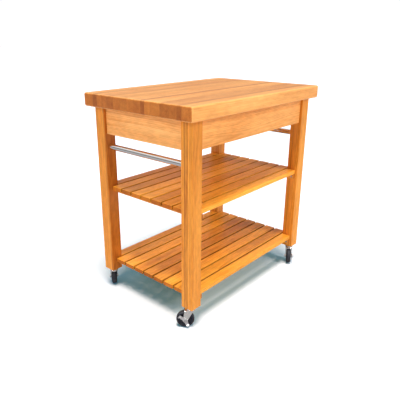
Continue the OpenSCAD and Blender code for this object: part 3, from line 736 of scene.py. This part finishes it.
# One straight rib is a box along X whose face slopes down outwards; the others are turned from it.
rib_count, rib_half, rib_start, rib_end = 8, 0.0009, 0.0095, 0.0280
rib_root, rib_face_start, rib_face_end = 0.0060, 0.0104, 0.0092
rib_box = np.array([
    [rib_start, -rib_half, rib_root], [rib_end, -rib_half, rib_root],
    [rib_end, rib_half, rib_root], [rib_start, rib_half, rib_root],
    [rib_start, -rib_half, rib_face_start], [rib_end, -rib_half, rib_face_end],
    [rib_end, rib_half, rib_face_end], [rib_start, rib_half, rib_face_start]])
rib_faces = np.array([[0, 3, 2, 1], [4, 5, 6, 7], [0, 1, 5, 4], [1, 2, 6, 5], [2, 3, 7, 6], [3, 0, 4, 7]])
turns = np.arange(rib_count)[:, None] * 2 * math.pi / rib_count
ribs = np.stack(np.broadcast_arrays(
    rib_box[:, 0] * np.cos(turns) - rib_box[:, 1] * np.sin(turns),
    rib_box[:, 0] * np.sin(turns) + rib_box[:, 1] * np.cos(turns), rib_box[:, 2]), -1)
all_ribs = np.concatenate([ribs, ribs * (1, -1, -1)])
wheel_points = np.concatenate([disc, all_ribs.reshape(-1, 3)])
rib_begins = len(disc) + np.arange(len(all_ribs)) * len(rib_box)
all_rib_faces = (rib_faces + rib_begins[:, None, None]).reshape(-1, 4)
wheel_faces = disc_faces.tolist() + all_rib_faces.tolist()

wheel_moulding, tree, shader = new_material("wheel_moulding")
spot = put(tree, "Attribute", attribute_name="wheel_place").outputs["Vector"]
out_from_axle = vector_sums(tree, "LENGTH", vector_sums(tree, "MULTIPLY", spot, (1.0, 1.0, 0.0)))
tread = ramp(tree, out_from_axle, tread_edge, crown_edge)
grit = stretched_noise(tree, spot, (260.0, 260.0, 260.0), 4.0, 0.65)[0]
dust = sums(tree, "MULTIPLY", tread, ramp(tree, grit, 0.42, 0.66))
mould = stretched_noise(tree, spot, (1400.0, 1400.0, 1400.0), 2.0)[0]
rubber_colour, dust_colour = (0.008, 0.010, 0.020, 1), (0.10, 0.09, 0.085, 1)
rough = sums(tree, "MULTIPLY_ADD", dust, 0.35, sums(tree, "MULTIPLY_ADD", tread, 0.18, 0.36))
height = sums(tree, "MULTIPLY_ADD", mould, 0.4, grit)
relief = put(tree, "Bump", {"Strength": 0.15, "Distance": 0.0003, "Height": height}).outputs[0]
tint = blended(tree, sums(tree, "MULTIPLY", dust, 0.30), rubber_colour, dust_colour)
feed(tree, shader, {"Base Color": tint, "Roughness": rough, "Normal": relief})
for corner in leg_staves:
    x, y, z = wheel_points.T
    upright = np.stack([x + trail, -z, y + axle_height], -1)
    wheel = grown_piece(corner + "_tyre", at_corner(corner, upright), wheel_faces)
    sharpen(wheel, 40)
    own = wheel.data.attributes.new("wheel_place", "FLOAT_VECTOR", "POINT")
    own.data.foreach_set("vector", wheel_points.astype(np.float32).ravel())
    wheel.data.materials.append(wheel_moulding)
    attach(wheel, corner + "_roller")
    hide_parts(corner + "_wheel")

# ---------------------------------------------------------------- the brake levers
# A plated strip rocks on the axle bolt outside the fork. A foot presses the tab
# at its long end to lock the wheel and the tab at its short end to free it.
lever_sheet, lever_half, lever_eye, lever_bend, lever_gap = 0.0020, 0.0062, 0.0100, 0.0035, 0.0003
lever_side = fork_inner + fork_sheet + lever_gap
long_heading, long_arm, long_tab = 38, 0.0368, 0.0118
short_heading, short_arm, short_tab = 246, 0.0288, 0.0070
# How far along the arm the eye's width dies away, and how far from a tip the narrowing starts.
eye_reach, tip_reach = 0.0085, 0.004


def rocker():
    """The lever's two arms. Each arm's middle line is drawn flat, along the arm and then out sideways to the
    tip of its tab, and turned to its heading, in degrees up from the way the fork trails. Across it the width
    swells round the axle as a bell curve and narrows to half at the tip along part of a circle."""
    across = np.linspace(-1, 1, 7)
    arms = []
    for heading, arm, tab in ((short_heading, short_arm, short_tab), (long_heading, long_arm, long_tab)):
        bend = curve_round([(0.0, 0.0), (arm - lever_sheet, 0.0), (arm - lever_sheet, tab)], lever_bend, 7)
        arm_part = np.linspace(0, 1, 10)[:-1, None] * bend[1]
        tab_part = bend[-2] + (bend[-1] - bend[-2]) * np.linspace(0.2, 1, 6)[:, None]
        line = np.concatenate([arm_part, bend[1:-1], tab_part])
        along = np.concatenate([[0], np.cumsum(np.linalg.norm(np.diff(line, axis=0), axis=1))])
        closing = np.clip(1 - (along[-1] - along) / tip_reach, 0, 1)
        half = lever_half + (lever_eye - lever_half) * np.exp(-(along / eye_reach) ** 2)
        width = (half * np.sqrt(1 - closing ** 2 * 0.75))[:, None] * across
        turn = math.radians(heading)
        slope = np.gradient(line, axis=0)
        slope /= np.linalg.norm(slope, axis=1, keepdims=True)
        lift = np.stack([slope[:, 1], -slope[:, 0]], 1)
        faces = []
        for depth in (0.0, lever_sheet):
            reach, out = (line - lift * depth).T[:, :, None]
            x = reach * math.cos(turn) - width * math.sin(turn) + trail
            z = reach * math.sin(turn) + width * math.cos(turn) + axle_height
            faces.append(np.stack([x, np.broadcast_to(out + lever_side, x.shape), z], -1))
        arms.append(faces)
    return arms


brake_plate = bare_metal("brake_plate", (0.84, 0.84, 0.85), 0.26, 0.14, (400.0, 400.0, 400.0), 0.4)
lever_points, lever_faces = np.empty((0, 3)), []
for near_side, far_side in rocker():
    arm_points, arm_faces = shell(far_side, near_side)
    lever_faces += (np.array(arm_faces) + len(lever_points)).tolist()
    lever_points = np.concatenate([lever_points, arm_points])
for corner in ("front_left", "front_right"):
    lever = grown_piece(corner + "_rocker", at_corner(corner, lever_points), lever_faces)
    sharpen(lever, 38)
    lever.data.materials.append(brake_plate)
    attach(lever, corner + "_pedal")
    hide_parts(corner + "_brake")
